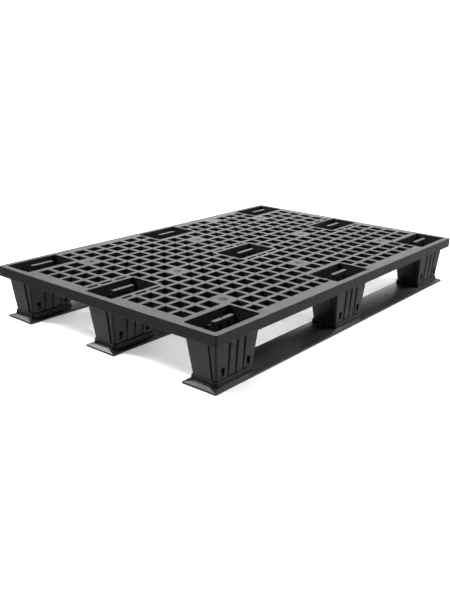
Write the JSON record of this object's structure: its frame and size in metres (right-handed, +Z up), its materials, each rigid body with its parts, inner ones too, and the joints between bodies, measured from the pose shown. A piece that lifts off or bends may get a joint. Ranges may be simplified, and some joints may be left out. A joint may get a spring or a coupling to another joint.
{
  "type": "plastic pallet",
  "caption": "Low open-deck plastic pallet with a square grid top, tapered hollow feet and clip-on runners, for forklift and pallet-truck handling.",
  "frame": {"origin": "on the floor, below the middle of the deck", "axes": "+X along the runners and the long side, +Y from the front to the rear, +Z up"},
  "size_m": [1.2, 0.8, 0.15],
  "materials": {
    "deck_plastic": "black recycled polyolefin, moulded, satin, with fine scuffs",
    "runner_plastic": "black recycled polyolefin, moulded, satin, mottled with dust and scuffs"
  },
  "bodies": {
    "root": {"deck_grid": "deck_plastic", "foot_front_left": "deck_plastic", "foot_front_middle": "deck_plastic", "foot_front_right": "deck_plastic", "foot_centre_left": "deck_plastic", "foot_centre_middle": "deck_plastic", "foot_centre_right": "deck_plastic", "foot_rear_left": "deck_plastic", "foot_rear_middle": "deck_plastic", "foot_rear_right": "deck_plastic", "runner_front": "runner_plastic", "runner_centre": "runner_plastic", "runner_rear": "runner_plastic"}
  },
  "joints": []
}
